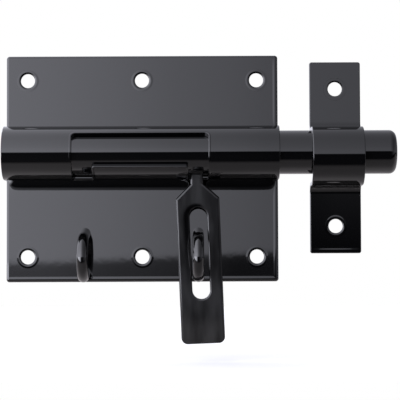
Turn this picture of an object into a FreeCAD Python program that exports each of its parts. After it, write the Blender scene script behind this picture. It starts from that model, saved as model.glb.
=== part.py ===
"""A padbolt: a round bolt in a pressed barrel on a back plate, with a lever, two staples and a keeper.

Frame, in millimetres: the back plate's back face is the plane Y = 0 and its centre is the origin.
+X points along the bolt towards the keeper, +Z is up, and the front of the padbolt faces -Y.
The bolt is thrown and locked: its slotted lever hangs in the right-hand notch of the barrel,
over the right-hand staple.
"""

import FreeCAD
import Part
import math
import os

# Back plate
PLATE_LENGTH = 120.0
PLATE_HEIGHT = 100.0
PLATE_THICK = 2.0
PLATE_CORNER_R = 1.3
PLATE_EDGE_R = 1.2
SCREW_HOLE_D = 6.5
SCREW_RIM_R = 0.5
HOLE_INSET_X = 9.5
HOLE_INSET_Z = 11.0

# Round bolt
BOLT_D = 19.0
BOLT_AXIS_Z = 6.3
BOLT_TAIL_INSET = 5.0
BOLT_NOSE_REACH = 50.8
BOLT_NOSE_R = 3.0
BOLT_TAIL_R = 0.8

# Barrel pressing
BARREL_SHEET = 2.0
BARREL_FIT = 0.25
BARREL_EDGE_R = 0.35
WINDOW_MIDDLE_X = -0.3
WINDOW_HALF_LENGTH = 29.6
WINDOW_TOP_DEG = 43.5
WINDOW_CORNER_R = 2.0
TAB_HALF_LENGTH = 20.8
TAB_TOP_DEG = -33.0
TAB_CORNER_R = 1.0
NOTCH_CORNER_R = 0.8
TENON_LENGTH = 14.0
TENON_INSET = 15.0
TENON_FIT = 0.1

# Slotted lever
LEVER_THICK = 3.0
LEVER_NECK_WIDTH = 5.6
LEVER_WIDTH = 19.1
LEVER_SHOULDER_START = 13.5
LEVER_SHOULDER_END = 19.9
LEVER_REACH = 83.5
LEVER_CORNER_R = 2.8
LEVER_SHOULDER_R = 1.0
LEVER_EDGE_R = 0.7
LEVER_BACK_EDGE_R = 0.3
LEVER_SLOT_WIDTH = 7.7
LEVER_SLOT_START = 24.0
LEVER_SLOT_END = 64.0
LEVER_LEAN_DEG = 2.2
LEVER_TILT_DEG = 4.0
LEVER_SEAT_FIT = 0.15
LEVER_NOTCH_FIT = 0.6
LEVER_SIDE_FIT = 0.3

# Wire staples
STAPLE_WIRE_D = 5.0
STAPLE_HEIGHT = 21.0
STAPLE_LEG_SPACING = 17.0
STAPLE_FOOT_RISE = 12.7
STAPLE_HALF_SPACING = 25.0
STAPLE_DROOP_DEG = 10.0
SPIGOT_D = 4.0
SPIGOT_HEAD_D = 5.4
SPIGOT_HEAD_DEPTH = 0.7
SPIGOT_FIT = 0.1

# Keeper strap
KEEPER_SHEET = 1.5
KEEPER_INNER_R = 11.35
KEEPER_HANG_FIT = 0.15
KEEPER_WIDTH = 22.5
KEEPER_GAP = 14.05
KEEPER_REACH = 42.3
KEEPER_BEND_R = 3.2
KEEPER_CORNER_R = 1.0
KEEPER_EDGE_R = 0.4
KEEPER_HOLE_SPACING = 60.6

# Places that follow from the driving sizes
BOLT_R = BOLT_D / 2
PLATE_END_X = PLATE_LENGTH / 2
PLATE_TOP_Z = PLATE_HEIGHT / 2
PLATE_FRONT_Y = -PLATE_THICK
BARREL_LENGTH = PLATE_LENGTH
BOLT_TAIL_X = BOLT_TAIL_INSET - PLATE_END_X
BOLT_NOSE_X = PLATE_END_X + BOLT_NOSE_REACH
BARREL_INNER_R = BOLT_R + BARREL_FIT
BARREL_OUTER_R = BARREL_INNER_R + BARREL_SHEET
BOLT_AXIS_Y = PLATE_FRONT_Y - BARREL_INNER_R
LEVER_NECK_X = WINDOW_MIDDLE_X + TAB_HALF_LENGTH + LEVER_SIDE_FIT + LEVER_NECK_WIDTH / 2
STAPLE_PLACES = [WINDOW_MIDDLE_X - STAPLE_HALF_SPACING, WINDOW_MIDDLE_X + STAPLE_HALF_SPACING]
STAPLE_FOOT_Z = STAPLE_FOOT_RISE - PLATE_TOP_Z
KEEPER_MIDDLE_X = PLATE_END_X + KEEPER_GAP + KEEPER_WIDTH / 2
KEEPER_AXIS_Z = BOLT_AXIS_Z + BOLT_R + KEEPER_HANG_FIT - KEEPER_INNER_R
# How far a cutting tool runs past the piece that it cuts
OVERRUN = BARREL_SHEET
# Two lengths closer than this count as the same
SAME = 1e-4

ALONG_X = FreeCAD.Vector(1, 0, 0)
ALONG_Y = FreeCAD.Vector(0, 1, 0)
ALONG_Z = FreeCAD.Vector(0, 0, 1)
BOLT_AXIS = FreeCAD.Vector(0, BOLT_AXIS_Y, BOLT_AXIS_Z)


def box(x_range, y_range, z_range):
    """A block between two corners."""
    low = FreeCAD.Vector(min(x_range), min(y_range), min(z_range))
    sizes = [abs(end - start) for start, end in (x_range, y_range, z_range)]
    return Part.makeBox(*sizes, low)


def rod(radius, x_range):
    """A round bar on the bolt's axis."""
    start = FreeCAD.Vector(x_range[0], BOLT_AXIS_Y, BOLT_AXIS_Z)
    return Part.makeCylinder(radius, x_range[1] - x_range[0], start, ALONG_X)


def line(start, end):
    return Part.LineSegment(start, end).toShape()


def arc(start, middle, end):
    return Part.Arc(start, middle, end).toShape()


def extrude(edges, direction):
    """The solid swept by the face inside a closed run of edges."""
    return Part.Face(Part.Wire(edges)).extrude(direction)


def edges_where(shape, test):
    """The edges of a shape whose bounding box passes a test."""
    return [edge for edge in shape.Edges if test(edge.BoundBox)]


def near(value, target):
    return abs(value - target) < SAME


def lies_at_y(bounds, y):
    return near(bounds.YMin, y) and near(bounds.YMax, y)


def around_bolt(radius, degrees):
    """A point beside the bolt's axis at an angle above straight forward, in the plane X = 0."""
    angle = math.radians(degrees)
    return BOLT_AXIS + FreeCAD.Vector(0, -radius * math.cos(angle), radius * math.sin(angle))


def screw_hole(x, z, front_y):
    """A cutter for a screw hole, with a rounded front rim, in a sheet between Y = 0 and front_y."""
    radius = SCREW_HOLE_D / 2
    mouth = radius + SCREW_RIM_R
    edges = [
        line(FreeCAD.Vector(0, OVERRUN, 0), FreeCAD.Vector(radius, OVERRUN, 0)),
        line(FreeCAD.Vector(radius, OVERRUN, 0), FreeCAD.Vector(radius, front_y + SCREW_RIM_R, 0)),
        arc(
            FreeCAD.Vector(radius, front_y + SCREW_RIM_R, 0),
            FreeCAD.Vector(
                mouth - SCREW_RIM_R * math.cos(math.pi / 4),
                front_y + SCREW_RIM_R - SCREW_RIM_R * math.sin(math.pi / 4),
                0,
            ),
            FreeCAD.Vector(mouth, front_y, 0),
        ),
        line(FreeCAD.Vector(mouth, front_y, 0), FreeCAD.Vector(mouth, front_y - OVERRUN, 0)),
        line(FreeCAD.Vector(mouth, front_y - OVERRUN, 0), FreeCAD.Vector(0, front_y - OVERRUN, 0)),
        line(FreeCAD.Vector(0, front_y - OVERRUN, 0), FreeCAD.Vector(0, OVERRUN, 0)),
    ]
    profile = Part.Face(Part.Wire(edges))
    cutter = profile.revolve(FreeCAD.Vector(0, 0, 0), ALONG_Y, 360)
    cutter.translate(FreeCAD.Vector(x, 0, z))
    return cutter


def tenon_blocks(fit):
    """The tabs on the barrel's two feet that pass through the plate, each grown by a clearance."""
    blocks = []
    for side in (-1, 1):
        foot_z = BOLT_AXIS_Z + side * (BARREL_OUTER_R - BARREL_SHEET / 2)
        half_sheet = BARREL_SHEET / 2 + fit
        for place in (-1, 0, 1):
            x = place * (PLATE_END_X - TENON_INSET)
            half_length = TENON_LENGTH / 2 + fit
            blocks.append(
                box(
                    (x - half_length, x + half_length),
                    (PLATE_FRONT_Y, 0),
                    (foot_z - half_sheet, foot_z + half_sheet),
                )
            )
    return blocks


def spigot(x, z, fit):
    """A staple's riveted end: a round shank through the plate and a head spread in a countersink."""
    place = FreeCAD.Vector(x, PLATE_FRONT_Y, z)
    shank = Part.makeCylinder(SPIGOT_D / 2 + fit, PLATE_THICK, place, ALONG_Y)
    head_start = FreeCAD.Vector(x, -SPIGOT_HEAD_DEPTH, z)
    head_r = SPIGOT_HEAD_D / 2 + fit
    head = Part.makeCone(SPIGOT_D / 2 + fit, head_r, SPIGOT_HEAD_DEPTH, head_start, ALONG_Y)
    return shank.fuse(head).removeSplitter()


def staple_leg_heights():
    return [STAPLE_FOOT_Z + side * STAPLE_LEG_SPACING / 2 for side in (-1, 1)]


def back_plate():
    """A flat plate with six screw holes, slots for the barrel's tenons and holes for the staples."""
    plate = box((-PLATE_END_X, PLATE_END_X), (PLATE_FRONT_Y, 0), (-PLATE_TOP_Z, PLATE_TOP_Z))
    corners = edges_where(plate, lambda b: near(b.YLength, PLATE_THICK))
    plate = plate.makeFillet(PLATE_CORNER_R, corners)
    rim = edges_where(plate, lambda b: lies_at_y(b, PLATE_FRONT_Y))
    plate = plate.makeFillet(PLATE_EDGE_R, rim)
    cutters = tenon_blocks(TENON_FIT)
    hole_x = PLATE_END_X - HOLE_INSET_X
    hole_z = PLATE_TOP_Z - HOLE_INSET_Z
    for x in (-hole_x, 0, hole_x):
        for z in (-hole_z, hole_z):
            cutters.append(screw_hole(x, z, PLATE_FRONT_Y))
    for x in STAPLE_PLACES:
        for z in staple_leg_heights():
            cutters.append(spigot(x, z, SPIGOT_FIT))
    return plate.cut(cutters)


def window_sector(low_deg, x_range):
    """A cutter through the barrel's wall from the window's top edge down to an angle."""
    inner = BARREL_INNER_R - OVERRUN
    outer = BARREL_OUTER_R + OVERRUN
    middle_deg = (WINDOW_TOP_DEG + low_deg) / 2
    edges = [
        line(around_bolt(inner, WINDOW_TOP_DEG), around_bolt(outer, WINDOW_TOP_DEG)),
        arc(
            around_bolt(outer, WINDOW_TOP_DEG),
            around_bolt(outer, middle_deg),
            around_bolt(outer, low_deg),
        ),
        line(around_bolt(outer, low_deg), around_bolt(inner, low_deg)),
        arc(
            around_bolt(inner, low_deg),
            around_bolt(inner, middle_deg),
            around_bolt(inner, WINDOW_TOP_DEG),
        ),
    ]
    sector = extrude(edges, ALONG_X * (x_range[1] - x_range[0]))
    sector.translate(ALONG_X * x_range[0])
    return sector


def notch_floor_y():
    """How far back a notch runs in the barrel's lower leg: clear behind the lever's tilted neck."""
    tilt = math.radians(LEVER_TILT_DEG)
    neck_back_y = BOLT_AXIS_Y + LEVER_THICK / 2 / math.cos(tilt) + BARREL_OUTER_R * math.tan(tilt)
    return neck_back_y + LEVER_NOTCH_FIT


def notch(x_range):
    """A cutter for one end notch: the window carried down round the barrel and into its lower leg."""
    inner = BARREL_INNER_R - OVERRUN
    outer = BARREL_OUTER_R + OVERRUN
    leg = box(x_range, (BOLT_AXIS_Y, notch_floor_y()), (BOLT_AXIS_Z - outer, BOLT_AXIS_Z - inner))
    floor_corners = edges_where(
        leg, lambda b: near(b.ZLength, outer - inner) and near(b.YMin, notch_floor_y())
    )
    leg = leg.makeFillet(NOTCH_CORNER_R, floor_corners)
    return window_sector(-90, x_range).fuse(leg)


def bayonet_window():
    """The window with its two end notches and the long tab that is left standing between them."""
    window_ends = [WINDOW_MIDDLE_X + side * WINDOW_HALF_LENGTH for side in (-1, 1)]
    tab_ends = [WINDOW_MIDDLE_X + side * TAB_HALF_LENGTH for side in (-1, 1)]
    window = window_sector(TAB_TOP_DEG, window_ends)
    notches = [notch((window_ends[0], tab_ends[0])), notch((tab_ends[1], window_ends[1]))]
    opening = window.fuse(notches).removeSplitter()
    radii = (BARREL_INNER_R - OVERRUN, BARREL_OUTER_R + OVERRUN)
    top_z = sorted(around_bolt(radius, WINDOW_TOP_DEG).z for radius in radii)
    tab_z = sorted(around_bolt(radius, TAB_TOP_DEG).z for radius in radii)
    top_corners = edges_where(
        opening,
        lambda b: near(b.XLength, 0) and near(b.ZMin, top_z[0]) and near(b.ZMax, top_z[1]),
    )
    opening = opening.makeFillet(WINDOW_CORNER_R, top_corners)
    tab_corners = edges_where(
        opening,
        lambda b: near(b.XLength, 0) and near(b.ZMin, tab_z[0]) and near(b.ZMax, tab_z[1]),
    )
    return opening.makeFillet(TAB_CORNER_R, tab_corners)


def barrel():
    """A sheet bent to a U over the bolt, with the bayonet window and tenons on its feet."""
    up_out = FreeCAD.Vector(0, 0, BARREL_OUTER_R)
    up_in = FreeCAD.Vector(0, 0, BARREL_INNER_R)
    foot = FreeCAD.Vector(0, PLATE_FRONT_Y, BOLT_AXIS_Z)
    edges = [
        line(foot + up_out, BOLT_AXIS + up_out),
        arc(BOLT_AXIS + up_out, around_bolt(BARREL_OUTER_R, 0), BOLT_AXIS - up_out),
        line(BOLT_AXIS - up_out, foot - up_out),
        line(foot - up_out, foot - up_in),
        line(foot - up_in, BOLT_AXIS - up_in),
        arc(BOLT_AXIS - up_in, around_bolt(BARREL_INNER_R, 0), BOLT_AXIS + up_in),
        line(BOLT_AXIS + up_in, foot + up_in),
        line(foot + up_in, foot + up_out),
    ]
    shell = extrude(edges, ALONG_X * BARREL_LENGTH)
    shell.translate(ALONG_X * (-BARREL_LENGTH / 2))
    outer_ends = edges_where(
        shell,
        lambda b: near(b.XLength, 0) and near(b.ZLength, 2 * BARREL_OUTER_R) and b.YLength > BARREL_SHEET,
    )
    shell = shell.makeFillet(BARREL_EDGE_R, outer_ends)
    shell = shell.cut(bayonet_window())
    return shell.fuse(tenon_blocks(0)).removeSplitter()


def bolt_rod():
    """The round bolt with an eased nose and tail."""
    bolt = rod(BOLT_R, (BOLT_TAIL_X, BOLT_NOSE_X))
    nose = edges_where(bolt, lambda b: near(b.XMin, BOLT_NOSE_X))
    tail = edges_where(bolt, lambda b: near(b.XMax, BOLT_TAIL_X))
    return bolt.makeFillet(BOLT_NOSE_R, nose).makeFillet(BOLT_TAIL_R, tail)


def lever_blank():
    """The flat lever standing straight down from the bolt's axis, with its slot and rounded edges."""
    front_y = BOLT_AXIS_Y - LEVER_THICK / 2
    back_y = front_y + LEVER_THICK
    neck_root = BOLT_R / 2
    half_neck = LEVER_NECK_WIDTH / 2
    half_width = LEVER_WIDTH / 2

    def at(x, reach):
        return FreeCAD.Vector(LEVER_NECK_X + x, front_y, BOLT_AXIS_Z - reach)

    outline = [
        at(-half_neck, neck_root),
        at(-half_neck, LEVER_SHOULDER_START),
        at(-half_width, LEVER_SHOULDER_END),
        at(-half_width, LEVER_REACH),
        at(half_width, LEVER_REACH),
        at(half_width, LEVER_SHOULDER_END),
        at(half_neck, LEVER_SHOULDER_START),
        at(half_neck, neck_root),
    ]
    edges = [line(outline[i - 1], outline[i]) for i in range(len(outline))]
    blank = extrude(edges, ALONG_Y * LEVER_THICK)
    foot_corners = edges_where(
        blank, lambda b: near(b.YLength, LEVER_THICK) and near(b.ZMin, BOLT_AXIS_Z - LEVER_REACH)
    )
    blank = blank.makeFillet(LEVER_CORNER_R, foot_corners)
    shoulders = edges_where(
        blank, lambda b: near(b.YLength, LEVER_THICK) and near(b.ZMin, BOLT_AXIS_Z - LEVER_SHOULDER_END)
    )
    blank = blank.makeFillet(LEVER_SHOULDER_R, shoulders)

    slot_r = LEVER_SLOT_WIDTH / 2
    slot_ends = [LEVER_SLOT_START + slot_r, LEVER_SLOT_END - slot_r]
    slot = box(
        (LEVER_NECK_X - slot_r, LEVER_NECK_X + slot_r),
        (front_y, back_y),
        (BOLT_AXIS_Z - slot_ends[0], BOLT_AXIS_Z - slot_ends[1]),
    )
    for reach in slot_ends:
        slot = slot.fuse(Part.makeCylinder(slot_r, LEVER_THICK, at(0, reach), ALONG_Y))
    blank = blank.cut(slot.removeSplitter())

    root_z = BOLT_AXIS_Z - neck_root
    front_edges = edges_where(blank, lambda b: lies_at_y(b, front_y) and b.ZMin < root_z - SAME)
    blank = blank.makeFillet(LEVER_EDGE_R, front_edges)
    back_edges = edges_where(blank, lambda b: lies_at_y(b, back_y) and b.ZMin < root_z - SAME)
    return blank.makeFillet(LEVER_BACK_EDGE_R, back_edges)


def lever():
    """The lever leaning a little along the bolt, coped to its round and hanging towards the plate."""
    blank = lever_blank()
    blank.rotate(BOLT_AXIS + ALONG_X * LEVER_NECK_X, ALONG_Y, -LEVER_LEAN_DEG)
    seat = rod(BOLT_R + LEVER_SEAT_FIT, (LEVER_NECK_X - LEVER_WIDTH, LEVER_NECK_X + LEVER_WIDTH))
    coped = blank.cut(seat)
    coped.rotate(BOLT_AXIS, ALONG_X, LEVER_TILT_DEG)
    return coped


def staple(x):
    """A round wire bent to a U, drooping a little, with its two ends riveted through the plate."""
    bend_r = STAPLE_LEG_SPACING / 2
    bend_y = PLATE_FRONT_Y - STAPLE_HEIGHT + STAPLE_WIRE_D / 2 + bend_r
    root_y = PLATE_FRONT_Y + STAPLE_WIRE_D
    low_z, high_z = staple_leg_heights()
    wire = STAPLE_WIRE_D / 2
    low_leg = Part.makeCylinder(wire, root_y - bend_y, FreeCAD.Vector(x, bend_y, low_z), ALONG_Y)
    high_leg = Part.makeCylinder(wire, root_y - bend_y, FreeCAD.Vector(x, bend_y, high_z), ALONG_Y)
    section = Part.Face(Part.Wire(Part.makeCircle(wire, FreeCAD.Vector(x, bend_y, high_z), ALONG_Y)))
    crown = section.revolve(FreeCAD.Vector(x, bend_y, STAPLE_FOOT_Z), ALONG_X, 180)
    loop = crown.fuse([low_leg, high_leg]).removeSplitter()
    loop.rotate(FreeCAD.Vector(x, PLATE_FRONT_Y, STAPLE_FOOT_Z), ALONG_X, STAPLE_DROOP_DEG)
    reach = 2 * STAPLE_HEIGHT
    behind = box(
        (x - reach, x + reach),
        (PLATE_FRONT_Y, PLATE_FRONT_Y + reach),
        (STAPLE_FOOT_Z - reach, STAPLE_FOOT_Z + reach),
    )
    loop = loop.cut(behind)
    return loop.fuse([spigot(x, z, 0) for z in staple_leg_heights()]).removeSplitter()


def keeper():
    """A strap folded to an arch that hangs on the bolt's nose, with a drilled leaf above and below."""
    inner = KEEPER_INNER_R
    outer = inner + KEEPER_SHEET
    front_y = -KEEPER_SHEET
    bend_y = front_y - KEEPER_BEND_R
    back_bend_r = KEEPER_BEND_R + KEEPER_SHEET
    ends = {side: KEEPER_AXIS_Z + side * KEEPER_REACH for side in (-1, 1)}

    def at(y, z):
        return FreeCAD.Vector(0, y, z)

    def bend(side, radius):
        """The fold from a leaf to the arch: its end on the leaf, its middle and its end on the arch."""
        centre_z = KEEPER_AXIS_Z + side * (outer + KEEPER_BEND_R)
        slant = radius * math.cos(math.pi / 4)
        return (
            at(bend_y + radius, centre_z),
            at(bend_y + slant, centre_z - side * slant),
            at(bend_y, centre_z - side * radius),
        )

    up_front = bend(1, KEEPER_BEND_R)
    low_front = bend(-1, KEEPER_BEND_R)
    up_back = bend(1, back_bend_r)
    low_back = bend(-1, back_bend_r)
    outside = [at(BOLT_AXIS_Y, KEEPER_AXIS_Z + side * outer) for side in (-1, 1)]
    inside = [at(BOLT_AXIS_Y, KEEPER_AXIS_Z + side * inner) for side in (-1, 1)]
    edges = [
        line(at(0, ends[1]), at(front_y, ends[1])),
        line(at(front_y, ends[1]), up_front[0]),
        arc(*up_front),
        line(up_front[2], outside[1]),
        arc(outside[1], at(BOLT_AXIS_Y - outer, KEEPER_AXIS_Z), outside[0]),
        line(outside[0], low_front[2]),
        arc(*reversed(low_front)),
        line(low_front[0], at(front_y, ends[-1])),
        line(at(front_y, ends[-1]), at(0, ends[-1])),
        line(at(0, ends[-1]), low_back[0]),
        arc(*low_back),
        line(low_back[2], inside[0]),
        arc(inside[0], at(BOLT_AXIS_Y - inner, KEEPER_AXIS_Z), inside[1]),
        line(inside[1], up_back[2]),
        arc(*reversed(up_back)),
        line(up_back[0], at(0, ends[1])),
    ]
    strap = extrude(edges, ALONG_X * KEEPER_WIDTH)
    strap.translate(ALONG_X * (KEEPER_MIDDLE_X - KEEPER_WIDTH / 2))
    corners = edges_where(
        strap,
        lambda b: near(b.YLength, KEEPER_SHEET) and near(b.ZLength, 0) and near(b.XLength, 0),
    )
    strap = strap.makeFillet(KEEPER_CORNER_R, corners)
    rim = edges_where(strap, lambda b: near(b.XLength, 0) and is_on_front(b, front_y, outer))
    strap = strap.makeFillet(KEEPER_EDGE_R, rim)
    for side in (-1, 1):
        hole_z = KEEPER_AXIS_Z + side * KEEPER_HOLE_SPACING / 2
        strap = strap.cut(screw_hole(KEEPER_MIDDLE_X, hole_z, front_y))
    return strap


def is_on_front(bounds, front_y, outer):
    """Whether an edge of the keeper's side bounds a leaf's front face or the outside of the arch."""
    leaf = lies_at_y(bounds, front_y) and bounds.ZLength > KEEPER_CORNER_R
    arch = near(bounds.ZLength, 2 * outer)
    return leaf or arch


def main():
    os.makedirs("parts", exist_ok=True)
    pieces = {
        "back_plate": back_plate(),
        "barrel": barrel(),
        "bolt_rod": bolt_rod(),
        "lever": lever(),
        "staple_open": staple(STAPLE_PLACES[0]),
        "staple_locked": staple(STAPLE_PLACES[1]),
        "keeper": keeper(),
    }
    for name, shape in pieces.items():
        shape.exportStep("parts/" + name + ".step")
        print(name, len(shape.Solids), "solid", round(shape.Volume, 1), "mm3", shape.isValid())


main()
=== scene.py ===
# %% [markdown]
# # A gloss black padbolt
#
# This lesson dresses a padbolt, the heavy sliding bolt of a garden gate. A round bolt runs in a pressed
# barrel on a back plate. A slotted lever hangs from the bolt and drops over a wire staple, where a
# padlock goes. An arched strap, the keeper, takes the bolt's nose.
#
# All the steel shapes come ready made from the CAD model. What is left for Blender is what the eye judges
# first on such an object: a deep black paint that shows almost nothing but reflections.

# %% Load the steel pieces
import bpy
import math
import numpy as np
from mathutils import Matrix, Vector


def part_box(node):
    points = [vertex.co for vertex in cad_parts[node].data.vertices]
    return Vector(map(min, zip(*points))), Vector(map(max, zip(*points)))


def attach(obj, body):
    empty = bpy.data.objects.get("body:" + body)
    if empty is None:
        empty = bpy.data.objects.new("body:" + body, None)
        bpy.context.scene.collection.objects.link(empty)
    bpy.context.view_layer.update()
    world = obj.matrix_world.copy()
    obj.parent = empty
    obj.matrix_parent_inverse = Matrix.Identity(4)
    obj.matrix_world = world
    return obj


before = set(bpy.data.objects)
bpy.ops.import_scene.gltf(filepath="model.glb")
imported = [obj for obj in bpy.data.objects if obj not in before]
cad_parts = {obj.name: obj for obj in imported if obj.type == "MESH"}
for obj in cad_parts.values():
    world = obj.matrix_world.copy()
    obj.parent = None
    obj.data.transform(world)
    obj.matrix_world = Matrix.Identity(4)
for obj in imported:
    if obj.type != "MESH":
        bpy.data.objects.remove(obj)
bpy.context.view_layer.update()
scene = bpy.context.scene
print("pieces:", sorted(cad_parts))

# %% [markdown]
# ## The camera
#
# The photograph was taken almost straight from the front, a little from below, with a long lens. Its
# camera was worked out from the plate's corners and screw holes. Three small turns and a shift place the
# object in front of the lens. Blender wants the reverse, the lens in front of the object, so the turn is
# transposed.

# %% Place the camera
YAW, PITCH, ROLL = -0.001136, -0.03921, -0.003849
OBJECT_IN_LENS = np.array([-0.02553, 0.720, 0.01381])
FOCAL_PX = 1625.4
IMAGE_PX = 400
SENSOR_MM = 36


def turn(axis, angle):
    """Rotation matrix about X, Y or Z, as numpy."""
    return np.array(Matrix.Rotation(angle, 3, axis))


object_turn = turn("Y", ROLL) @ turn("X", PITCH) @ turn("Z", YAW)
right, forward, up = object_turn
place = -object_turn.T @ OBJECT_IN_LENS
lens_turn = Matrix(np.array([right, up, -forward]).T).to_4x4()
camera_data = bpy.data.cameras.new("camera")
camera_data.sensor_width = SENSOR_MM
camera_data.lens = FOCAL_PX / IMAGE_PX * SENSOR_MM
camera = bpy.data.objects.new("camera", camera_data)
camera.matrix_world = Matrix.Translation(Vector(place)) @ lens_turn
scene.collection.objects.link(camera)
scene.camera = camera
print("camera at", np.round(place, 3), "with a lens of", round(camera_data.lens, 1), "mm")

# %% [markdown]
# ## Nodes and colours
#
# A few helpers serve all the materials. One turns a colour as it is picked on a screen, in sRGB, into the
# linear numbers that a renderer adds up. Another puts one node into a tree with its settings and its
# links, so that each material reads as a short list of steps.

# %% Colour and node helpers


def linear(hex_colour):
    """sRGB hex to linear RGBA.

    A channel c becomes c / 12.92 up to 0.04045, and ((c + 0.055) / 1.055) ** 2.4 above that.
    """
    channels = np.array([int(hex_colour[i:i + 2], 16) for i in (1, 3, 5)]) / 255
    low, high = channels / 12.92, ((channels + 0.055) / 1.055) ** 2.4
    return [*np.where(channels <= 0.04045, low, high).tolist(), 1.0]


def add(tree, kind, settings=None, **links):
    """Adds a node with its settings and links, and returns it.

    A setting goes on an input, by its name or number, or else on the node itself. Stops are the (share,
    grey) pairs of a ramp. A link leads to the input of its name, where _1 means input number 1. It comes
    from a socket, or from a node's first output.
    """
    node = tree.nodes.new("ShaderNode" + kind)
    for name, value in (settings or {}).items():
        if name == "stops":
            elements = node.color_ramp.elements
            while len(elements) < len(value):
                elements.new(1.0)
            for element, (share, grey) in zip(elements, value):
                element.position = share
                element.color = (grey, grey, grey, 1)
        elif isinstance(name, int) or name in node.inputs:
            node.inputs[name].default_value = value
        else:
            setattr(node, name, value)
    for name, source in links.items():
        target = int(name[1:]) if name.startswith("_") else name.replace("_", " ")
        tree.links.new(getattr(source, "outputs", [source])[0], node.inputs[target])
    return node


def shares(stops, low, high):
    """Stops at values between low and high, as shares of that span."""
    return [((value - low) / (high - low), grey) for value, grey in stops]


def new_material(name):
    """An empty node material and its tree."""
    material = bpy.data.materials.new(name)
    material.use_nodes = True
    material.node_tree.nodes.clear()
    return material, material.node_tree


WHITE = linear("#ffffff")
scene.view_settings.view_transform = "Standard"
print("mid grey #808080 is", round(linear("#808080")[0], 4), "in linear light")

# %% [markdown]
# ## The studio
#
# Gloss black paint is a dim mirror, so the picture is made by what stands around the object. The
# photograph tells what that was. Faces that look up or straight out are grey, so a large soft panel
# reached from the height of the lens to overhead, brighter on the left. Faces that look down a little are
# black, so below the lens there was a dark card. Edges that look to the left are light, so a pale wall
# stood there.
#
# Lamps and cards could be built as objects. Here they are painted on the world instead, as a brightness
# for each direction, because then each edge is one number. So each direction is measured first: how far
# it goes to the side, and how many degrees it climbs.

# %% Measure each direction
TURN_DEG = 180

world = bpy.data.worlds.new("studio")
world.use_nodes = True
scene.world = world
sky = world.node_tree
sky.nodes.clear()

direction = add(sky, "SeparateXYZ", Vector=add(sky, "TexCoord").outputs["Generated"])
# The side runs from -1 at the left to 1 at the right
side = direction.outputs["X"]
outward = add(sky, "Math", {"operation": "MULTIPLY", 1: -1.0}, _0=direction.outputs["Y"])
climb = add(sky, "Math", {"operation": "ARCTAN2"}, _0=direction.outputs["Z"], _1=outward)
# 0 degrees is straight out towards the lens, 90 overhead and 180 behind
degrees = add(sky, "Math", {"operation": "DEGREES"}, _0=climb)
side_share = add(sky, "MapRange", {"From Min": -1.0, "From Max": 1.0}, Value=side)
turn_share = add(sky, "MapRange", {"From Min": -TURN_DEG, "From Max": TURN_DEG}, Value=degrees)
print("directions measured with", len(sky.nodes), "nodes")

# %% [markdown]
# ## The panel and the card
#
# The panel's lower edge is the line at which the plate and the round pieces turn from grey to black, so
# it is almost sharp. It climbs a little to the right. From there the panel dims upwards, and the whole
# studio dims to the right.
#
# Two ramps give the brightness of panel and card by the angle, and a third one scales both by the side.

# %% Paint the panel and the card
# The panel's lower edge in degrees above the lens's level: in the middle, its climb to the right and its
# softness
EDGE_MIDDLE, EDGE_CLIMB, EDGE_SOFT = 0.28, 2.4, 0.12
# The edge climbs as far as this to either side of the middle
CLIMB_HALF = 0.1
PANEL_BY_DEG = [(0, 1.0), (10, 1.0), (25, 0.89), (45, 0.81), (67, 0.73), (110, 0.65), (180, 0.55)]
CARD_BY_DEG = [(-180, 0.3), (-120, 0.2), (-70, 0.03), (-10, 0.02), (5, 0.0)]
BY_SIDE = [(-1, 1.7), (-0.5, 1.7), (-0.3, 1.28), (-0.12, 1.05), (-0.093, 0.97), (-0.054, 0.83),
           (-0.02, 0.68), (0.022, 0.57), (0.04, 0.5), (0.1, 0.44), (0.25, 0.36), (0.45, 0.26), (0.8, 0.16),
           (1, 0.3)]

rise = CLIMB_HALF * EDGE_CLIMB
edge_deg = add(sky, "MapRange", {"From Min": -CLIMB_HALF, "From Max": CLIMB_HALF,
                                 "To Min": EDGE_MIDDLE - rise, "To Max": EDGE_MIDDLE + rise}, Value=side)
over_edge = add(sky, "Math", {"operation": "SUBTRACT"}, _0=degrees, _1=edge_deg)
edge = add(sky, "MapRange", {"interpolation_type": "SMOOTHSTEP", "From Min": -EDGE_SOFT,
                             "From Max": EDGE_SOFT}, Value=over_edge)
panel_fall = add(sky, "ValToRGB", {"stops": shares(PANEL_BY_DEG, -TURN_DEG, TURN_DEG)}, Fac=turn_share)
panel = add(sky, "Math", {"operation": "MULTIPLY"}, _0=panel_fall, _1=edge)
card = add(sky, "ValToRGB", {"stops": shares(CARD_BY_DEG, -TURN_DEG, TURN_DEG)}, Fac=turn_share)
panel_and_card = add(sky, "Math", {"operation": "ADD"}, _0=panel, _1=card)
side_fall = add(sky, "ValToRGB", {"stops": shares(BY_SIDE, -1, 1)}, Fac=side_share)
lit = add(sky, "Math", {"operation": "MULTIPLY"}, _0=panel_and_card, _1=side_fall)
print("panel from", EDGE_MIDDLE, "degrees above the lens's level")

# %% [markdown]
# ## The leak and the walls
#
# Two lights stand below the panel's edge. A little light leaks past the edge on to the top of the card,
# most of it on the left, and keeps the foot of the plate from going quite black. Pale walls beside the
# card light the edges that look sideways: a strong one on the left, a weak one on the right.
#
# Both are cut off by what the panel's edge leaves over, so that they never add to the panel.

# %% Paint the leak and the walls
# The leak fades out at this angle, and its brightness by the side is given for the middle of the studio
LEAK_DEG, LEAK_HALF = -4.0, 0.14
LEAK_BY_SIDE = [(-0.14, 0.3), (-0.093, 0.25), (-0.054, 0.15), (-0.02, 0.11), (0.022, 0.03), (0.06, 0.03),
                (0.083, 0.06), (0.14, 0.06)]
WALL_BY_SIDE = [(-1, 3.0), (-0.6, 2.8), (-0.25, 0.0), (0.25, 0.0), (0.7, 0.1), (1, 0.2)]
# The walls are gone at the first angle and full from the second
WALL_FOOT_DEG = (-30.0, -15.0)

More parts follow.
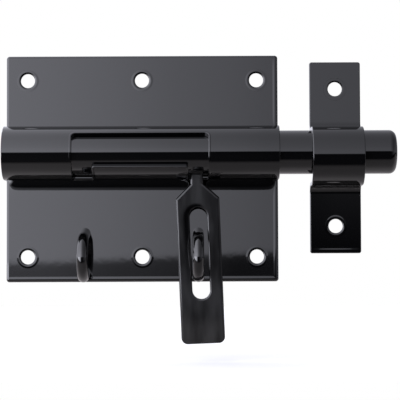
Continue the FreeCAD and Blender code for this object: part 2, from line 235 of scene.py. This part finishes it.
below_edge = add(sky, "Math", {"operation": "SUBTRACT", 0: 1.0}, _1=edge)
leak_rise = add(sky, "MapRange", {"interpolation_type": "SMOOTHSTEP", "From Min": LEAK_DEG,
                                  "From Max": 0.0}, Value=degrees)
leak_below = add(sky, "Math", {"operation": "MULTIPLY"}, _0=leak_rise, _1=below_edge)
leak_share = add(sky, "MapRange", {"From Min": -LEAK_HALF, "From Max": LEAK_HALF}, Value=side)
leak_fall = add(sky, "ValToRGB", {"stops": shares(LEAK_BY_SIDE, -LEAK_HALF, LEAK_HALF)}, Fac=leak_share)
leak = add(sky, "Math", {"operation": "MULTIPLY"}, _0=leak_below, _1=leak_fall)
wall_rise = add(sky, "MapRange", {"interpolation_type": "SMOOTHSTEP", "From Min": WALL_FOOT_DEG[0],
                                  "From Max": WALL_FOOT_DEG[1]}, Value=degrees)
wall_below = add(sky, "Math", {"operation": "MULTIPLY"}, _0=below_edge, _1=wall_rise)
wall_fall = add(sky, "ValToRGB", {"stops": shares(WALL_BY_SIDE, -1, 1)}, Fac=side_share)
walls = add(sky, "Math", {"operation": "MULTIPLY"}, _0=wall_below, _1=wall_fall)
low_light = add(sky, "Math", {"operation": "ADD"}, _0=leak, _1=walls)
print("leak down to", LEAK_DEG, "degrees and walls down to", WALL_FOOT_DEG[0], "degrees")

# %% [markdown]
# ## What the lens sees
#
# The camera itself sees plain white, as in a cut-out picture. Only the paint sees the studio: in an all-
# white room gloss black would turn white.

# %% Join the studio
STUDIO_STRENGTH = 1.75
STUDIO_TINT = linear("#f2f3ff")

all_light = add(sky, "Math", {"operation": "ADD"}, _0=lit, _1=low_light)
level = add(sky, "Math", {"operation": "MULTIPLY", 1: STUDIO_STRENGTH}, _0=all_light)
studio = add(sky, "Background", {"Color": STUDIO_TINT}, Strength=level)
backdrop = add(sky, "Background", {"Color": WHITE, "Strength": 1.0})
to_lens = add(sky, "LightPath").outputs["Is Camera Ray"]
seen = add(sky, "MixShader", Fac=to_lens, _1=studio, _2=backdrop)
add(sky, "OutputWorld", Surface=seen)
print("studio of strength", STUDIO_STRENGTH, "made of", len(sky.nodes), "nodes")

# %% [markdown]
# ## The table
#
# The padbolt is held by its back plate, just clear of a pale table. In the picture the table is as white
# as the background. It matters as the dim grey in faces that look down: the lower side of the barrel, the
# bolt and the keeper. For that mirror its colour carries painted shade: dark at the front, under the dark
# card, paler towards the plate and a little darker to the right.
#
# One flat face is enough. Its material is painted in two ways, one for the lens, white with a soft
# shadow, and one for the mirror of the paint, with painted shade in its colour.

# %% Lay the table
TABLE_Z = -0.085
TABLE_FRONT_Y, TABLE_BACK_Y = -0.125, 0.9
TABLE_HALF_X = 0.9

corners = [(-TABLE_HALF_X, TABLE_FRONT_Y), (TABLE_HALF_X, TABLE_FRONT_Y), (TABLE_HALF_X, TABLE_BACK_Y),
           (-TABLE_HALF_X, TABLE_BACK_Y)]
table_mesh = bpy.data.meshes.new("table")
table_mesh.from_pydata([(x, y, TABLE_Z) for x, y in corners], [], [(0, 1, 2, 3)])
table = bpy.data.objects.new("table", table_mesh)
scene.collection.objects.link(table)
print("table", TABLE_Z * 1000, "mm from the plate's middle")

# %% Finish the table
BOARD_WHITE, BOARD_TINT = linear("#f0f0f0"), linear("#fff8f1")
# The white board glows a little for the lens, so that it meets the background
BOARD_GLOW = 0.35
# Painted shade on the mirrored table: how pale it is, by the distance in front of the plate
SHADE_PAINTED_BY_Y = [(TABLE_FRONT_Y, 0.02), (-0.09, 0.34), (-0.06, 0.36), (-0.03, 0.41), (0, 0.58)]
# Painted shade towards the right: how much of that paleness is left there
BOARD_HALF = 0.15
SHADE_PAINTED_BY_X = [(-0.06, 1.0), (0.12, 0.75)]

pale_board, tree = new_material("pale laminate board with painted shade")
across, along, _ = add(tree, "SeparateXYZ", Vector=add(tree, "TexCoord").outputs["Object"]).outputs
front_share = add(tree, "MapRange", {"From Min": TABLE_FRONT_Y, "From Max": 0.0}, Value=along)
front_fall = add(tree, "ValToRGB", {"stops": shares(SHADE_PAINTED_BY_Y, TABLE_FRONT_Y, 0)}, Fac=front_share)
cross_share = add(tree, "MapRange", {"From Min": -BOARD_HALF, "From Max": BOARD_HALF}, Value=across)
cross_fall = add(tree, "ValToRGB", {"stops": shares(SHADE_PAINTED_BY_X, -BOARD_HALF, BOARD_HALF)}, Fac=cross_share)
# Painted shade: the mirrored table's colour is darkest at the front and darker to the right
painted_shade = add(tree, "Math", {"operation": "MULTIPLY"}, _0=front_fall, _1=cross_fall)
# Inputs 6 and 7 of a Mix node are its two colours, and output 2 is their mix
board_with_painted_shade = add(tree, "Mix", {"data_type": "RGBA", "blend_type": "MULTIPLY", "Factor": 1.0, 6: BOARD_TINT},
             _7=painted_shade)
mirrored = add(tree, "BsdfDiffuse", Color=board_with_painted_shade.outputs[2])
white_board = add(tree, "BsdfDiffuse", {"Color": BOARD_WHITE})
glow = add(tree, "Emission", {"Color": WHITE, "Strength": BOARD_GLOW})
photographed = add(tree, "AddShader", _0=white_board, _1=glow)
to_lens = add(tree, "LightPath").outputs["Is Camera Ray"]
shown = add(tree, "MixShader", Fac=to_lens, _1=mirrored, _2=photographed)
add(tree, "OutputMaterial", Surface=shown)
table_mesh.materials.append(pale_board)
print("table finished as", pale_board.name)

# %% [markdown]
# ## Gloss black stoved enamel
#
# The steel is dipped or sprayed in black enamel and stoved, that is, baked. The paint flows out before it
# sets, so it is smooth as glass, with only a faint orange peel. Almost all that is seen of it is the
# mirror of its surface.
#
# A Principled shader with a nearly black base and a full clear coat gives that. The orange peel is a very
# weak bump: on a mirror, a slope of a tenth of a degree already bends a straight edge. Three coats share
# the beginning and the end, so these are functions, and each coat adds its own steps in between.

# %% Mix the gloss enamel
ENAMEL_BLACK = linear("#050506")
ENAMEL_IOR = 1.5
GLOSS_ROUGHNESS, COAT_ROUGHNESS = 0.03, 0.02
PEEL_MM, PEEL_DEPTH_MM = 3.0, 0.0015


def start_coat(name):
    """A material, its tree, the place on the piece, and the height of the orange peel there in metres."""
    material, tree = new_material(name)
    place_on_piece = add(tree, "TexCoord").outputs["Object"]
    peel = add(tree, "TexNoise", {"Scale": 1000 / PEEL_MM, "Detail": 1.0, "Roughness": 0.4},
               Vector=place_on_piece)
    height = add(tree, "Math", {"operation": "MULTIPLY", 1: PEEL_DEPTH_MM / 1000}, _0=peel.outputs["Fac"])
    return material, tree, place_on_piece, height


def finish_coat(tree, height, roughness, **links):
    """Ends a coat: the height bends the mirror, and further links go to the shader."""
    bump = add(tree, "Bump", {"Strength": 1.0, "Distance": 1.0}, Height=height)
    paint = add(tree, "BsdfPrincipled",
                {"Base Color": ENAMEL_BLACK, "Roughness": roughness, "IOR": ENAMEL_IOR, "Coat Weight": 1.0,
                 "Coat Roughness": COAT_ROUGHNESS, "Coat IOR": ENAMEL_IOR},
                Normal=bump, Coat_Normal=bump, **links)
    add(tree, "OutputMaterial", Surface=paint)


enamel, tree, _, height = start_coat("gloss black stoved enamel")
finish_coat(tree, height, GLOSS_ROUGHNESS)
print("mixed", enamel.name)

# %% [markdown]
# ## The slack keeper
#
# The keeper is a separate strap that hangs on the bolt, and in the photograph it leans forward a little:
# its mirror shows the dark card where the plate beside it still shows the panel.
#
# The steel could be turned, but then it would no longer fit its screws. A height that grows evenly up the
# piece turns only the mirror, by the same small angle everywhere.

# %% Lean the keeper's mirror
KEEPER_LEAN = math.radians(2.0)

slack, tree, place_on_piece, height = start_coat("gloss black enamel on the slack keeper")
up_piece = add(tree, "SeparateXYZ", Vector=place_on_piece).outputs["Z"]
leaning = add(tree, "Math", {"operation": "MULTIPLY_ADD", 1: math.tan(KEEPER_LEAN)}, _0=up_piece, _2=height)
finish_coat(tree, leaning, GLOSS_ROUGHNESS)
print("mirror leaning by", round(math.degrees(KEEPER_LEAN), 1), "degrees")

# %% [markdown]
# ## The lever's edges
#
# The lever is stamped from thick sheet. The press draws the rims in, and the paint rounds them further: a
# light bevel runs down the left-hand side in the photograph, and a dark arch lies over the slot.
#
# The margin is too shallow to be worth a mesh, so it is a bump that falls as the square of the way into
# the margin. To find that way, the lever is turned upright about the bolt's axis, and each point's
# distance past the outline and from the slot is measured.

# %% Measure the lever's outline
BOLT_AXIS_Y, BOLT_AXIS_Z = -0.01175, 0.0063
LEVER_X, LEVER_LEAN, LEVER_TILT = 0.0236, math.radians(-2.2), math.radians(4)
LEVER_HALF, NECK_HALF = 0.00955, 0.0028
SHOULDER_TOP, SHOULDER_FOOT = 0.0135, 0.0199
SHOULDER_NORMAL = Vector((SHOULDER_FOOT - SHOULDER_TOP, 0, LEVER_HALF - NECK_HALF)).normalized()
SHOULDER_OUT = SHOULDER_NORMAL.dot((NECK_HALF, 0, -SHOULDER_TOP))
EDGE_MARGIN = 0.0013

handled, tree, place_on_piece, height = start_coat("black enamel dulled by hands")
upright = add(tree, "Mapping", {"vector_type": "TEXTURE", "Location": (LEVER_X, BOLT_AXIS_Y, BOLT_AXIS_Z),
                                "Rotation": (LEVER_TILT, LEVER_LEAN, 0)}, Vector=place_on_piece)
across, _, along = add(tree, "SeparateXYZ", Vector=upright).outputs
off_middle = add(tree, "Math", {"operation": "ABSOLUTE"}, _0=across)
past_side = add(tree, "Math", {"operation": "SUBTRACT", 1: LEVER_HALF}, _0=off_middle)
past_neck = add(tree, "Math", {"operation": "SUBTRACT", 1: NECK_HALF}, _0=off_middle)
in_half = add(tree, "CombineXYZ", X=off_middle, Z=along)
slant = add(tree, "VectorMath", {"operation": "DOT_PRODUCT", 1: SHOULDER_NORMAL}, _0=in_half)
past_shoulder = add(tree, "Math", {"operation": "SUBTRACT", 1: SHOULDER_OUT}, _0=slant.outputs["Value"])
past_top = add(tree, "Math", {"operation": "MINIMUM"}, _0=past_shoulder, _1=past_neck)
past_outline = add(tree, "Math", {"operation": "MAXIMUM"}, _0=past_top, _1=past_side)
by_edge = add(tree, "MapRange", {"From Min": -EDGE_MARGIN, "From Max": 0.0}, Value=past_outline)
print("margin of", EDGE_MARGIN * 1000, "mm inside the lever's outline")

# %% Measure from the slot
SLOT_R, SLOT_TOP, SLOT_FOOT = 0.00385, 0.024, 0.064
SLOT_MARGIN = 0.0028
# The margin is wider on the left, so its outline lies that much to the left of the slot's
MARGIN_SHIFT = 0.0007
# Going down the slot, the margin fades between these distances from the bolt's axis
SLOT_FADE = (0.03, 0.064)

in_slot = add(tree, "Clamp", {"Min": SLOT_R - SLOT_FOOT, "Max": -SLOT_TOP - SLOT_R}, Value=along)
off_slot = add(tree, "Math", {"operation": "SUBTRACT"}, _0=along, _1=in_slot)
off_shifted = add(tree, "Math", {"operation": "ADD", 1: MARGIN_SHIFT}, _0=across)
from_slot = add(tree, "CombineXYZ", X=off_shifted, Z=off_slot)
distance = add(tree, "VectorMath", {"operation": "LENGTH"}, _0=from_slot).outputs["Value"]
by_slot = add(tree, "MapRange", {"From Min": SLOT_R + SLOT_MARGIN, "From Max": SLOT_R}, Value=distance)
high_up = add(tree, "MapRange", {"From Min": -SLOT_FADE[1], "From Max": -SLOT_FADE[0]}, Value=along)
to_left = add(tree, "MapRange", {"From Min": SLOT_R, "From Max": SLOT_R / 4}, Value=across)
upper_left = add(tree, "Math", {"operation": "MULTIPLY"}, _0=high_up, _1=to_left)
print("margin of", SLOT_MARGIN * 1000, "mm round the slot's upper end")

# %% [markdown]
# ## The dulled lever
#
# The lever is the piece that hands touch, so its gloss is dulled and smeared, and it is an even grey
# where the other pieces are a mirror. The rim over the slot is out of the fingers' way and has stayed
# clean.
#
# A second, rougher mirror under the clear coat gives that. Streaked noise sets its strength, and the
# clean rim takes it away.

# %% Draw the rims in and smear the lever
EDGE_DRAW, SLOT_DRAW = 0.0003, 0.0003
HANDLED_ROUGHNESS = 0.42
# Smears are this wide and long, and lean
SMEAR_MM, SMEAR_TURN = (6.0, 25.0), math.radians(25)
# Low values of the noise give a weak second mirror, and high ones a strong one
SMEAR_STOPS = [(0.36, 0.25), (0.66, 0.68)]
# The rim is clean up to the first distance from the slot and dull from the second
CLEAN_RIM = (0.001, 0.0024)

slot_square = add(tree, "Math", {"operation": "POWER", 1: 2.0}, _0=by_slot)
slot_fall = add(tree, "Math", {"operation": "MULTIPLY"}, _0=slot_square, _1=upper_left)
at_slot = add(tree, "Math", {"operation": "MULTIPLY", 1: -SLOT_DRAW}, _0=slot_fall)
edge_square = add(tree, "Math", {"operation": "POWER", 1: 2.0}, _0=by_edge)
drawn = add(tree, "Math", {"operation": "MULTIPLY_ADD", 1: -EDGE_DRAW}, _0=edge_square, _2=at_slot)
relief = add(tree, "Math", {"operation": "ADD"}, _0=height, _1=drawn)
rim_share = add(tree, "MapRange", {"interpolation_type": "SMOOTHSTEP", "From Min": SLOT_R + CLEAN_RIM[1],
                                   "From Max": SLOT_R + CLEAN_RIM[0]}, Value=distance)
clean = add(tree, "Math", {"operation": "MULTIPLY"}, _0=rim_share, _1=upper_left)
touched = add(tree, "Math", {"operation": "SUBTRACT", 0: 1.0}, _1=clean)
smears_per_m = (1000 / SMEAR_MM[0], 1, 1000 / SMEAR_MM[1])
smear = add(tree, "Mapping", {"Rotation": (0, SMEAR_TURN, 0), "Scale": smears_per_m}, Vector=place_on_piece)
streaks = add(tree, "TexNoise", {"Scale": 1.0, "Detail": 2.0}, Vector=smear)
haze = add(tree, "ValToRGB", {"stops": SMEAR_STOPS}, Fac=streaks.outputs["Fac"])
dull = add(tree, "Math", {"operation": "MULTIPLY"}, _0=haze, _1=touched)
finish_coat(tree, relief, HANDLED_ROUGHNESS, Specular_IOR_Level=dull)
print("mixed", handled.name, "with", len(tree.nodes), "nodes")

# %% [markdown]
# ## Painting the steel
#
# Each piece takes one coat: the lever the dulled one, the keeper the leaning one, and all the others the
# plain gloss. Only the materials change here, and the steel stays as it was loaded.

# %% Paint the steel
coats = {"lever": handled, "keeper": slack}
for name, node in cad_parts.items():
    node.data.materials.clear()
    node.data.materials.append(coats.get(name, enamel))
print("enamelled:", len(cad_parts), "pieces")

# %% [markdown]
# ## Paint in the corners
#
# Wet enamel creeps into every inside corner and dries there as a small hollow fillet. It is only some
# tenths of a millimetre high, but it turns the mirror downwards along the barrel's lower foot, so that
# the plate there shows the dark card: the black band under the barrel in the photograph.
#
# The fillet is a surface on a grid: one way along the barrel, the other way out over the plate. Its
# height falls off exponentially with the distance from the foot, as the edge of a wet film does. One
# function turns this grid, and all those after it, into a painted mesh.

# %% Make a mesh from a grid


def surface(name, points, body, coat=enamel, closed=False):
    """A smooth, painted mesh that rides on a body, from one or more grids of points.

    A grid has the shape (rows, columns, 3), and each face joins a point to its neighbours in the next row and
    column. The last column of a closed grid is joined to its first.
    """
    index = np.arange(points.size // 3).reshape(-1, *points.shape[-3:-1])
    if closed:
        index = np.concatenate([index, index[..., :1]], axis=-1)
    ring = [index[:, :-1, :-1], index[:, 1:, :-1], index[:, 1:, 1:], index[:, :-1, 1:]]
    quads = np.stack(ring, axis=-1).reshape(-1, 4)
    mesh = bpy.data.meshes.new(name)
    mesh.from_pydata(points.reshape(-1, 3), [], quads)
    mesh.polygons.foreach_set("use_smooth", np.ones(len(quads), bool))
    mesh.materials.append(coat)
    piece = bpy.data.objects.new(name, mesh)
    scene.collection.objects.link(piece)
    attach(piece, body)
    print(name, "has", len(quads), "faces")


plate_low, plate_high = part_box("back_plate")
barrel_low, barrel_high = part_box("barrel")
keeper_low, keeper_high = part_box("keeper")
print("plate in mm:", [round(1000 * value, 1) for value in plate_high - plate_low])

# %% Run the paint along the barrel's feet
PLATE_EDGE = 0.0012
FILLET_HEIGHT, FILLET_REACH, FILLET_END = 0.00045, 0.00158, 0.0012
# The grid goes out to this many reaches, where the fillet is too low to see
FILLET_SPAN = 5
FILLET_ROWS, FILLET_COLUMNS = 61, 161
# The upper foot holds less paint, because it drains
UPPER_SHARE = 0.35


def foot_fillet(foot_z, side, share):
    """Height h = H exp(-s / R) over the plate at a distance s from the foot, fading at the barrel's ends.

    side is 1 above the barrel and -1 below it, and share scales both H and R.
    """
    reach = FILLET_REACH * share
    along = np.linspace(plate_low.x + PLATE_EDGE, plate_high.x - PLATE_EDGE, FILLET_COLUMNS)
    away = np.linspace(0, 1, FILLET_ROWS) ** 2 * FILLET_SPAN * reach
    from_end = np.minimum(along - along[0], along[-1] - along)
    fade = 1 - np.exp(-from_end / FILLET_END)
    x, s = np.meshgrid(along, away)
    height = FILLET_HEIGHT * share * np.exp(-s / reach) * fade
    return np.stack([x, plate_low.y - height, foot_z + side * s], axis=-1)


# The rows run away from the foot, so the upper grid is turned over to keep its face outwards
surface("paint_fillet_low", foot_fillet(barrel_low.z, -1, 1.0), "plate")
surface("paint_fillet_high", foot_fillet(barrel_high.z, 1, UPPER_SHARE)[::-1], "plate")

# %% [markdown]
# ## Paint on the cut edges
#
# On a sharp cut edge paint draws back from the corners and stands up in the middle as a low round bead.
# It shows at the floor of the barrel's two notches, where the lever drops in: instead of a flat bright
# face there is one thin line of light.
#
# A bead is a grid again, along the notch and across the sheet, raised as an arch.

# %% Bead the floors of the notches
NOTCH_FLOOR_Y = -0.008825
# The window's two sides and the tab's two sides bound the notches
WINDOW_X, TAB_X = (-0.0299, 0.0293), (-0.0211, 0.0205)
BARREL_SHEET = 0.002
BEAD_HEIGHT, BEAD_END = 0.0004, 0.0008
BEAD_ROWS, BEAD_COLUMNS = 25, 49


def bead(ends):
    """Height h = H (1 - t^2)^(1/2) at t from -1 to 1 across the sheet, rounded off to 0 at the ends."""
    along = np.linspace(*ends, BEAD_COLUMNS)
    across = np.sin(np.linspace(-np.pi / 2, np.pi / 2, BEAD_ROWS))
    from_end = np.minimum(along - along[0], along[-1] - along)
    fade = np.sqrt(1 - np.clip(1 - from_end / BEAD_END, 0, 1) ** 2)
    x, t = np.meshgrid(along, across)
    height = BEAD_HEIGHT * np.sqrt(1 - t ** 2) * fade
    return np.stack([x, NOTCH_FLOOR_Y - height, barrel_low.z + BARREL_SHEET / 2 * (1 + t)], axis=-1)


surface("paint_bead_open", bead((WINDOW_X[0], TAB_X[0]))[::-1], "plate")
surface("paint_bead_locked", bead((TAB_X[1], WINDOW_X[1]))[::-1], "plate")

# %% [markdown]
# ## The rim of the window
#
# The window is punched before the barrel is bent, and its edges are drawn in and rounded by the punch.
# The paint fattens that rim. It is less than a millimetre wide, but it draws the window in the picture: a
# light line along the tab and the right-hand side, a dark one on the left.
#
# The outline is laid out flat first, as the sheet is: X along the barrel and the arc length round it.
# Then a low ridge is swept along it, just outside the hole, and the sheet is rolled up.

# %% Sweep the rim and roll it up
BARREL_R = 0.01175
WINDOW_TOP, WINDOW_CORNER = math.radians(43.5), 0.002
TAB_TOP, TAB_CORNER = math.radians(-33), 0.001
RIM_WIDTH = 0.0009
# The window's rim is higher at its right-hand end
WINDOW_RIM, TAB_RIM = (0.00003, 0.00008), 0.00022
RIM_ROWS, RIM_COLUMNS, CORNER_STEPS = 15, 401, 17


def bridge(ends, foot, top, corner):
    """Points spread evenly up, along and down again with two round corners, like a doorway's outline."""
    turns = np.linspace(0, np.pi / 2, CORNER_STEPS)
    left = np.stack([ends[0] + corner * (1 - np.cos(turns)), top - corner * (1 - np.sin(turns))], axis=-1)
    right = np.stack([ends[0] + ends[1] - left[::-1, 0], left[::-1, 1]], axis=-1)
    knots = np.concatenate([[(ends[0], foot)], left, right, [(ends[1], foot)]])
    run = np.concatenate([[0], np.cumsum(np.hypot(*np.diff(knots, axis=0).T))])
    even = np.linspace(0, run[-1], RIM_COLUMNS)
    return np.stack([np.interp(even, run, knots[:, i]) for i in (0, 1)], axis=-1)


def rim(path, side, height):
    """Height h = H (1 - t^2) at t from -1 to 1 across a ribbon beside a path, rolled round the barrel."""
    ahead = np.gradient(path, axis=0)
    ahead /= np.linalg.norm(ahead, axis=1, keepdims=True)
    across = side * np.stack([-ahead[:, 1], ahead[:, 0]], axis=-1)
    t = np.linspace(-1, 1, RIM_ROWS)
    flat = path + (RIM_WIDTH * (1 + t) / 2)[:, None, None] * across
    radius = BARREL_R + (1 - t ** 2)[:, None] * height
    angle = flat[..., 1] / BARREL_R
    y, z = BOLT_AXIS_Y - radius * np.cos(angle), BOLT_AXIS_Z + radius * np.sin(angle)
    return np.stack([flat[..., 0], y, z], axis=-1)


foot = -math.pi / 2 * BARREL_R
window_path = bridge(WINDOW_X, foot, WINDOW_TOP * BARREL_R, WINDOW_CORNER)
window_rim = rim(window_path, 1, np.interp(window_path[:, 0], WINDOW_X, WINDOW_RIM))
tab_rim = rim(bridge(TAB_X, foot, TAB_TOP * BARREL_R, TAB_CORNER), -1, TAB_RIM)
surface("paint_rim_window", window_rim[::-1], "plate")
surface("paint_rim_tab", tab_rim, "plate")

# %% [markdown]
# ## Paint along the outer edges
#
# Wet paint gathers along an edge as a fat edge, most of all where it hangs lowest. The inner flank of
# that ridge looks inwards and the outer flank looks outwards, so along the foot of the plate there is a
# thin light line over a thin dark one, and along its right-hand side a soft light band.
#
# The fat edge is a low ridge over the last millimetres of the steel. It follows the rounded edge of the
# plate, so that it lies on the steel all the way.

# %% Let the paint gather
# The ridge lies between these distances from the edge
SAG_FROM, SAG_TO = 0.0024, 0.0003
PLATE_SAG, RIGHT_SAG, KEEPER_SAG = 0.00006, 0.00004, 0.00003
KEEPER_FRONT_Y, KEEPER_EDGE = -0.0015, 0.0004
SAG_ROWS, SAG_COLUMNS = 41, 121
FRONT = np.array([0, -1, 0])


def fat_edge(start, end, inward, edge_r, height):
    """Height h = H sin^2(pi t) at t from 0 to 1 towards an edge, over a face that is rounded off there.

    The edge runs from start to end, and inward points from it into the face.
    """
    start, end, inward = np.array(start), np.array(end), np.array(inward)
    s = np.linspace(0, 1, SAG_COLUMNS)
    t = np.linspace(0, 1, SAG_ROWS)
    from_edge = SAG_FROM + (SAG_TO - SAG_FROM) * t
    drop = edge_r - np.sqrt(edge_r ** 2 - np.clip(edge_r - from_edge, 0, None) ** 2)
    from_end = np.minimum(s, 1 - s) * np.linalg.norm(end - start)
    fade = 1 - np.exp(-from_end / SAG_FROM)
    rise = height * np.sin(np.pi * t)[:, None] ** 2 * fade - drop[:, None]
    return start + (end - start) * s[:, None] + inward * from_edge[:, None, None] + FRONT * rise[..., None]


plate_y = plate_low.y
plate_foot = fat_edge((plate_low.x + PLATE_EDGE, plate_y, plate_low.z),
                      (plate_high.x - PLATE_EDGE, plate_y, plate_low.z), (0, 0, 1), PLATE_EDGE, PLATE_SAG)
keeper_foot = fat_edge((keeper_low.x + KEEPER_EDGE, KEEPER_FRONT_Y, keeper_low.z),
                       (keeper_high.x - KEEPER_EDGE, KEEPER_FRONT_Y, keeper_low.z), (0, 0, 1), KEEPER_EDGE,
                       KEEPER_SAG)
# The barrel parts the right-hand side in two
right_spans = [(plate_low.z + PLATE_EDGE, barrel_low.z), (barrel_high.z, plate_high.z - PLATE_EDGE)]
right_side = [fat_edge((plate_high.x, plate_y, low_z), (plate_high.x, plate_y, high_z), (-1, 0, 0),
                       PLATE_EDGE, RIGHT_SAG) for low_z, high_z in right_spans]
surface("paint_sag_plate", plate_foot, "plate")
surface("paint_sag_keeper", keeper_foot, "plate", slack)
surface("paint_sag_right", np.stack(right_side), "plate")

# %% [markdown]
# ## Paint round the screw holes
#
# At a hole the paint closes in a little, so that the hole is narrower than it was punched, and it stands
# up round it as a low lip. The lip turns the mirror towards the middle of the hole: dark at the top and
# on the left, light at the bottom and on the right.
#
# Each lip is a profile carried round the hole, and the grid is closed where it meets itself.

# %% Ring the holes
HOLE_R, HOLE_RIM_R = 0.00325, 0.0005
HOLE_X, HOLE_Z = 0.0505, 0.039
KEEPER_X, KEEPER_Z, KEEPER_HOLE_Z = 0.0853, 0.0046, 0.0303
# Distances from the hole's wall: how far the lip closes the hole, where its crest stands and where it ends
LIP_INSET, LIP_CREST, LIP_END = 0.00015, 0.00075, 0.00175
LIP_HEIGHT, LIP_DEPTH = 0.00003, 0.0004
# The keeper's lower hole holds about as much paint as the plate's, and its upper one little
LOWER_LIP, UPPER_LIP = 0.9, 0.2
INNER_STEPS, OUTER_STEPS, ROUND_STEPS = 25, 17, 72


def hole_lip(x, front_y, z, share):
    """A ring with the height h over the face at a distance s from the hole's wall; share scales H and D.

    Inside the crest h = H - D (1 - (1 - u^2)^(1/2)), a quarter ellipse with u from 1 to 0. Outside the
    crest h = H cos^2(pi v / 2), with v from 0 to 1. The first row meets the wall under the rounded rim.
    """
    u = np.sin(np.linspace(np.pi / 2, 0, INNER_STEPS))
    v = np.linspace(0, 1, OUTER_STEPS)[1:]
    inner_s, outer_s = LIP_CREST - (LIP_CREST + LIP_INSET) * u, LIP_CREST + (LIP_END - LIP_CREST) * v
    s = np.concatenate([[0], inner_s, outer_s])
    inner_h = share * (LIP_HEIGHT - LIP_DEPTH * (1 - np.sqrt(1 - u ** 2)))
    outer_h = share * LIP_HEIGHT * np.cos(np.pi / 2 * v) ** 2
    h = np.concatenate([[-HOLE_RIM_R], inner_h, outer_h])[:, None]
    around = np.linspace(0, 2 * np.pi, ROUND_STEPS, endpoint=False)
    r = HOLE_R + s[:, None]
    return np.stack([x + r * np.cos(around), front_y - h + 0 * around, z + r * np.sin(around)], axis=-1)


plate_lips = [hole_lip(x, plate_y, z, 1.0) for x in (-HOLE_X, 0, HOLE_X) for z in (-HOLE_Z, HOLE_Z)]
keeper_lips = [hole_lip(KEEPER_X, KEEPER_FRONT_Y, KEEPER_Z - KEEPER_HOLE_Z, LOWER_LIP),
               hole_lip(KEEPER_X, KEEPER_FRONT_Y, KEEPER_Z + KEEPER_HOLE_Z, UPPER_LIP)]
surface("paint_lips_plate", np.stack(plate_lips), "plate", closed=True)
surface("paint_lips_keeper", np.stack(keeper_lips), "plate", slack, closed=True)
